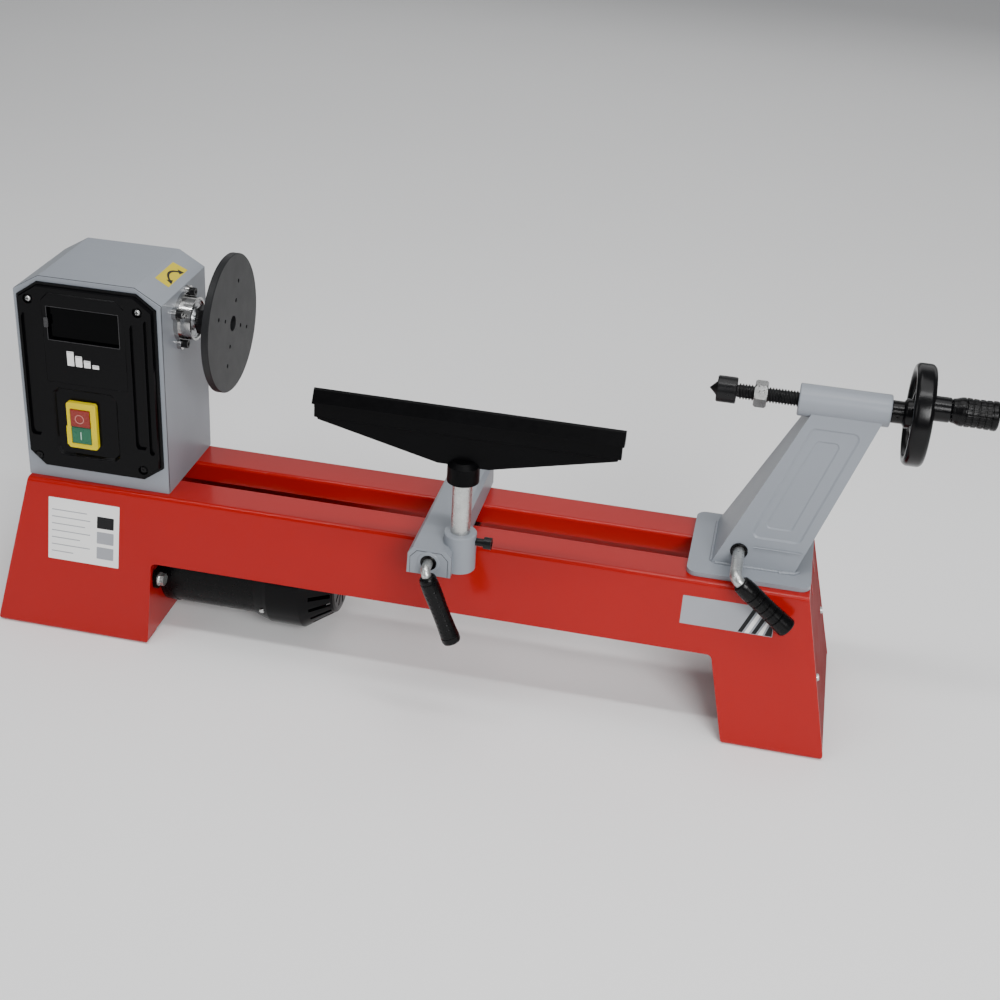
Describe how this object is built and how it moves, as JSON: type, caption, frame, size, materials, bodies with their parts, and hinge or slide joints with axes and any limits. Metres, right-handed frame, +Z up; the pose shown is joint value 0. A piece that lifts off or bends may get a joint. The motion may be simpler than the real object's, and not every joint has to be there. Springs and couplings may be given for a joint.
{
  "type": "wood lathe",
  "caption": "Benchtop wood lathe: folded sheet bed on splayed legs, belt-drive headstock with faceplate, banjo with tool rest, and tailstock with handwheel quill.",
  "frame": {"origin": "floor level, under the middle of the lathe's overall length and depth", "axes": "+X along the bed from headstock to tailstock, +Y away from the operator, +Z up"},
  "size_m": [1.0412, 0.2678, 0.4373],
  "materials": {
    "red_paint": "gloss powder coat",
    "grey_paint": "satin paint",
    "black_moulding": "satin moulded plastic",
    "black_paint": "satin paint",
    "black_steel": "blackened, satin",
    "machined_steel": "turned and ground",
    "zinc_steel": "zinc plated",
    "polished_steel": "polished",
    "cast_aluminium": "turned casting",
    "window_panel": "smoked gloss panel",
    "switch_yellow": "satin gloss moulding",
    "switch_red": "moulded cap",
    "switch_green": "moulded cap",
    "switch_black": "moulded",
    "belt_rubber": "ribbed rubber",
    "grip_plastic": "ribbed moulded grip",
    "rest_iron": "black enamelled casting",
    "spring_steel": "bright wire"
  },
  "bodies": {
    "frame": {"front_bed_panel": "red_paint", "rear_bed_panel": "red_paint", "left_end_plate": "red_paint", "right_end_plate": "red_paint", "motor_mount_plate": "red_paint", "frame_screws": "zinc_steel", "headstock_casing": "grey_paint", "headstock_front_plate": "grey_paint", "control_cover": "black_moulding", "display_window": "window_panel", "cover_screws": "black_steel", "switch_bezel": "switch_yellow", "switch_body": "switch_black", "bearing_flanges": "polished_steel", "spindle_bearings": "machined_steel", "bearing_bolts": "black_steel", "drive_belt": "belt_rubber", "door_hinge": "zinc_steel", "cable_gland": "grip_plastic", "stop_button_spring": "spring_steel", "start_button_spring": "spring_steel"},
    "spindle": {"spindle_shaft": "machined_steel", "spindle_pulley": "cast_aluminium", "spindle_nut": "black_steel", "faceplate": "black_steel"},
    "motor": {"motor_can": "black_paint", "motor_end_bell": "black_paint", "fan_cover": "black_moulding", "motor_bolts": "zinc_steel"},
    "rotor": {"motor_shaft": "machined_steel", "motor_pulley": "cast_aluminium", "cooling_fan": "grip_plastic"},
    "stop_cap": {"stop_button": "switch_red"},
    "start_cap": {"start_button": "switch_green"},
    "door": {"rear_door": "grey_paint", "door_knob": "grip_plastic"},
    "banjo_bar": {"banjo_clamp_bar": "black_steel"},
    "banjo_eye": {"banjo_eye_bolt": "zinc_steel"},
    "banjo": {"banjo_channel": "grey_paint", "post_socket": "grey_paint", "rod_bush": "grip_plastic"},
    "banjo_lever": {"banjo_cam_rod": "zinc_steel", "banjo_grip": "grip_plastic"},
    "post_screw": {"post_lock_screw": "black_steel"},
    "post": {"rest_post": "zinc_steel"},
    "rest": {"tool_rest": "rest_iron"},
    "tailstock": {"tail_base_plate": "grey_paint", "tail_arm": "grey_paint", "quill_housing": "grey_paint"},
    "tail_lever": {"tail_cam_rod": "zinc_steel", "tail_grip": "grip_plastic"},
    "tail_clamp": {"tail_eye_bolt": "zinc_steel", "tail_clamp_bar": "black_steel"},
    "centre": {"live_centre": "black_steel"},
    "quill": {"quill_screw": "black_steel", "handwheel": "black_moulding", "hub_screw": "zinc_steel", "crank_pin": "machined_steel"},
    "crank": {"crank_grip": "grip_plastic"},
    "nut": {"lock_nut": "zinc_steel"}
  },
  "joints": [
    {"name": "spindle_spin", "type": "hinge", "parent": "frame", "child": "spindle", "pos_m": [-0.38593, 0.03356, 0.3623], "axis": [1, 0, 0], "continuous": true},
    {"name": "motor_tension", "type": "slide", "parent": "frame", "child": "motor", "axis": [0, 0, 1], "range_m": [0, 0.01], "deforming": ["drive_belt"]},
    {"name": "motor_spin", "type": "hinge", "parent": "motor", "child": "rotor", "pos_m": [-0.28593, 0.02756, 0.067], "axis": [1, 0, 0], "continuous": true},
    {"name": "stop_push", "type": "slide", "parent": "frame", "child": "stop_cap", "axis": [0, 1, 0], "range_m": [0, 0.0025], "stiffness_N_per_m": 400, "springref_m": -0.002},
    {"name": "start_push", "type": "slide", "parent": "frame", "child": "start_cap", "axis": [0, 1, 0], "range_m": [0, 0.0025], "stiffness_N_per_m": 400, "springref_m": -0.002},
    {"name": "rear_door_swing", "type": "hinge", "parent": "frame", "child": "door", "pos_m": [-0.48493, 0.10556, 0.292], "axis": [0, 0, 1], "range_deg": [0, 110]},
    {"name": "banjo_slide", "type": "slide", "parent": "frame", "child": "banjo_bar", "axis": [1, 0, 0], "range_m": [-0.255, 0.17]},
    {"name": "banjo_swivel", "type": "hinge", "parent": "banjo_bar", "child": "banjo_eye", "pos_m": [-0.00843, 0.03356, 0.15], "axis": [0, 0, 1], "range_deg": [-25, 25]},
    {"name": "banjo_reach", "type": "slide", "parent": "banjo_eye", "child": "banjo", "axis": [0, 1, 0], "range_m": [-0.06, 0.03]},
    {"name": "banjo_lever_turn", "type": "hinge", "parent": "banjo", "child": "banjo_lever", "pos_m": [-0.00843, -0.06644, 0.1908], "axis": [0, 1, 0], "range_deg": [-120, 30]},
    {"name": "post_screw_turn", "type": "hinge", "parent": "banjo", "child": "post_screw", "pos_m": [0.03907, -0.07944, 0.2075], "axis": [1, 0, 0], "range_deg": [0, 720]},
    {"name": "post_height", "type": "slide", "parent": "banjo", "child": "post", "axis": [0, 0, 1], "range_m": [-0.045, 0.02]},
    {"name": "rest_swivel", "type": "hinge", "parent": "post", "child": "rest", "pos_m": [0.01737, -0.07944, 0.28], "axis": [0, 0, 1], "range_deg": [-90, 90]},
    {"name": "tail_slide", "type": "slide", "parent": "frame", "child": "tailstock", "axis": [1, 0, 0], "range_m": [-0.185, 0]},
    {"name": "tail_lever_turn", "type": "hinge", "parent": "tailstock", "child": "tail_lever", "pos_m": [0.29707, -0.01644, 0.1975], "axis": [0, 1, 0], "range_deg": [-101, 1]},
    {"name": "tail_clamp_drop", "type": "slide", "parent": "tailstock", "child": "tail_clamp", "axis": [0, 0, 1], "range_m": [-0.001, 0]},
    {"name": "quill_slide", "type": "slide", "parent": "tailstock", "child": "centre", "axis": [1, 0, 0], "range_m": [0, 0.022]},
    {"name": "quill_turn", "type": "hinge", "parent": "centre", "child": "quill", "pos_m": [0.31407, 0.03356, 0.3623], "axis": [1, 0, 0], "range_deg": [-10, 2650]},
    {"name": "crank_spin", "type": "hinge", "parent": "quill", "child": "crank", "pos_m": [0.49907, 0.00356, 0.3848], "axis": [1, 0, 0], "continuous": true},
    {"name": "lock_nut_slide", "type": "slide", "parent": "quill", "child": "nut", "axis": [1, 0, 0], "range_m": [-0.016, 0.009]}
  ],
  "couplings": [
    {"joint": "motor_spin", "follows": "spindle_spin", "ratio": 1.6996},
    {"joint": "tail_lever_turn", "follows": "tail_clamp_drop", "rad_per_m": 1745.3},
    {"joint": "quill_turn", "follows": "quill_slide", "rad_per_m": 2094.4}
  ]
}
